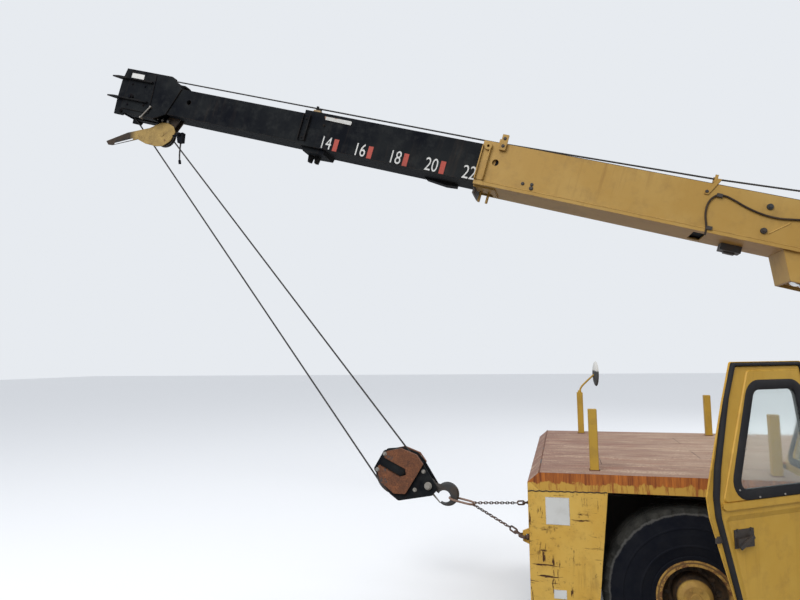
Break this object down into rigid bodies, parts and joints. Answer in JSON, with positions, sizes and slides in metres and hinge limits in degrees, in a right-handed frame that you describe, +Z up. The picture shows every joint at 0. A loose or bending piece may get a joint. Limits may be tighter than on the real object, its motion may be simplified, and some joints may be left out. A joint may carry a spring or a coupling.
{
  "type": "carry-deck mobile crane",
  "caption": "Low yard crane on four tyres: flat carry deck, offset cab with open door, slewing telescopic boom, hook block tied down to its front bumper.",
  "frame": {"origin": "on the ground, under the slew axis", "axes": "+X to the front of the carrier, +Y to its left, +Z up"},
  "size_m": [8.1274, 2.4468, 4.3183],
  "materials": {
    "yellow_paint": "weathered satin",
    "boom_black": "worn satin",
    "deck_plate": "rusty",
    "chassis_black": "dull",
    "cast_iron": "rough",
    "rusty_steel": "rusty",
    "wire_rope": "greased",
    "window_glass": "clear",
    "mirror_back": "glossy",
    "seat_vinyl": "satin",
    "black_plastic": "matt",
    "chrome_rod": "polished",
    "tyre": "matt",
    "rim_yellow": "rusty"
  },
  "bodies": {
    "carrier": {"chassis_frame": "chassis_black", "carry_deck": "deck_plate", "rear_fender": "deck_plate", "front_bumper": "yellow_paint", "rear_counterweight": "yellow_paint", "front_outrigger_housings": "chassis_black", "rear_outrigger_housings": "chassis_black", "engine_hood": "yellow_paint", "hood_grille": "chassis_black", "exhaust_stack": "rusty_steel", "cab_step": "chassis_black", "engine_block": "cast_iron", "side_tanks": "chassis_black", "deck_stakes": "yellow_paint", "deck_mirror": "mirror_back", "cab_body": "yellow_paint", "cab_roof": "yellow_paint", "cab_glass": "window_glass", "operator_seat": "seat_vinyl", "cab_console": "black_plastic", "steering_wheel": "black_plastic", "slew_ring": "cast_iron", "tie_down_chain": "rusty_steel", "front_axle": "chassis_black", "rear_axle": "chassis_black"},
    "turret": {"turret_frame": "yellow_paint"},
    "lift_cylinder": {"lift_barrel": "chassis_black"},
    "lift_cylinder_rod": {"lift_rod": "chrome_rod"},
    "base_section": {"boom_base": "yellow_paint", "hoist_winch": "yellow_paint"},
    "mid_section": {"boom_mid": "boom_black"},
    "fly_section": {"boom_fly": "boom_black", "head_sheaves": "cast_iron", "two_block_guard": "yellow_paint", "hoist_falls": "wire_rope"},
    "hook_assembly": {"block_frame": "boom_black", "block_cheeks": "rusty_steel", "block_sheave": "cast_iron", "hook": "cast_iron"},
    "door": {"cab_door": "yellow_paint", "door_glass": "window_glass"},
    "knuckle_left": {"knuckle_left": "cast_iron"},
    "wheel_front_left": {"tyre_front_left": "tyre", "rim_front_left": "rim_yellow"},
    "wheel_rear_left": {"tyre_rear_left": "tyre", "rim_rear_left": "rim_yellow"},
    "outrigger_front_left": {"outrigger_front_left": "chassis_black"},
    "outrigger_rear_left": {"outrigger_rear_left": "chassis_black"},
    "knuckle_right": {"knuckle_right": "cast_iron"},
    "wheel_front_right": {"tyre_front_right": "tyre", "rim_front_right": "rim_yellow"},
    "wheel_rear_right": {"tyre_rear_right": "tyre", "rim_rear_right": "rim_yellow"},
    "outrigger_front_right": {"outrigger_front_right": "chassis_black"},
    "outrigger_rear_right": {"outrigger_rear_right": "chassis_black"}
  },
  "joints": [
    {"name": "slew", "type": "hinge", "parent": "carrier", "child": "turret", "pos_m": [0, 0, 0.89], "axis": [0, 0, 1], "continuous": true},
    {"name": "boom_luff", "type": "hinge", "parent": "turret", "child": "base_section", "pos_m": [-0.147, 0, 2.141], "axis": [0, -1, 0], "range_deg": [-6, 53]},
    {"name": "boom_extend", "type": "slide", "parent": "base_section", "child": "mid_section", "axis": [0.9561, 0, 0.293], "range_m": [-0.2, 1.29]},
    {"name": "fly_extend", "type": "slide", "parent": "mid_section", "child": "fly_section", "axis": [0.9561, 0, 0.293], "range_m": [-0.2, 1.29]},
    {"name": "hook_hoist", "type": "slide", "parent": "fly_section", "child": "hook_assembly", "axis": [0.5883, 0, 0.8086], "range_m": [0, 2.3], "deforming": ["hoist_falls", "tie_down_chain"]},
    {"name": "lift_swing", "type": "hinge", "parent": "turret", "child": "lift_cylinder", "pos_m": [0.15, 0, 0.98], "axis": [0, -1, 0], "range_deg": [-4, 30]},
    {"name": "lift_extend", "type": "slide", "parent": "lift_cylinder", "child": "lift_cylinder_rod", "axis": [0.6021, 0, 0.7984], "range_m": [-0.12, 0.76]},
    {"name": "door_swing", "type": "hinge", "parent": "carrier", "child": "door", "pos_m": [1.352, 1.002, 0.8], "axis": [0, 0, 1], "range_deg": [0, 145]},
    {"name": "steer_left", "type": "hinge", "parent": "carrier", "child": "knuckle_left", "pos_m": [1.98, 0.66, 0.46], "axis": [0, 0, 1], "range_deg": [-28, 28]},
    {"name": "wheel_front_left_spin", "type": "hinge", "parent": "knuckle_left", "child": "wheel_front_left", "pos_m": [1.98, 0.835, 0.46], "axis": [0, 1, 0], "continuous": true},
    {"name": "wheel_rear_left_spin", "type": "hinge", "parent": "carrier", "child": "wheel_rear_left", "pos_m": [-0.22, 0.835, 0.46], "axis": [0, 1, 0], "continuous": true},
    {"name": "outrigger_front_left_slide", "type": "slide", "parent": "carrier", "child": "outrigger_front_left", "axis": [0, 0.8191, -0.5736], "range_m": [0, 0.33]},
    {"name": "outrigger_rear_left_slide", "type": "slide", "parent": "carrier", "child": "outrigger_rear_left", "axis": [0, 0.8191, -0.5736], "range_m": [0, 0.33]},
    {"name": "steer_right", "type": "hinge", "parent": "carrier", "child": "knuckle_right", "pos_m": [1.98, -0.66, 0.46], "axis": [0, 0, 1], "range_deg": [-28, 28]},
    {"name": "wheel_front_right_spin", "type": "hinge", "parent": "knuckle_right", "child": "wheel_front_right", "pos_m": [1.98, -0.835, 0.46], "axis": [0, 1, 0], "continuous": true},
    {"name": "wheel_rear_right_spin", "type": "hinge", "parent": "carrier", "child": "wheel_rear_right", "pos_m": [-0.22, -0.835, 0.46], "axis": [0, 1, 0], "continuous": true},
    {"name": "outrigger_front_right_slide", "type": "slide", "parent": "carrier", "child": "outrigger_front_right", "axis": [0, -0.8191, -0.5736], "range_m": [0, 0.33]},
    {"name": "outrigger_rear_right_slide", "type": "slide", "parent": "carrier", "child": "outrigger_rear_right", "axis": [0, -0.8191, -0.5736], "range_m": [0, 0.33]}
  ],
  "couplings": [
    {"joint": "fly_extend", "follows": "boom_extend", "ratio": 1},
    {"joint": "lift_swing", "follows": "boom_luff", "ratio": 0.51159},
    {"joint": "lift_extend", "follows": "boom_luff", "m_per_rad": 0.76268},
    {"joint": "steer_right", "follows": "steer_left", "ratio": 1}
  ]
}
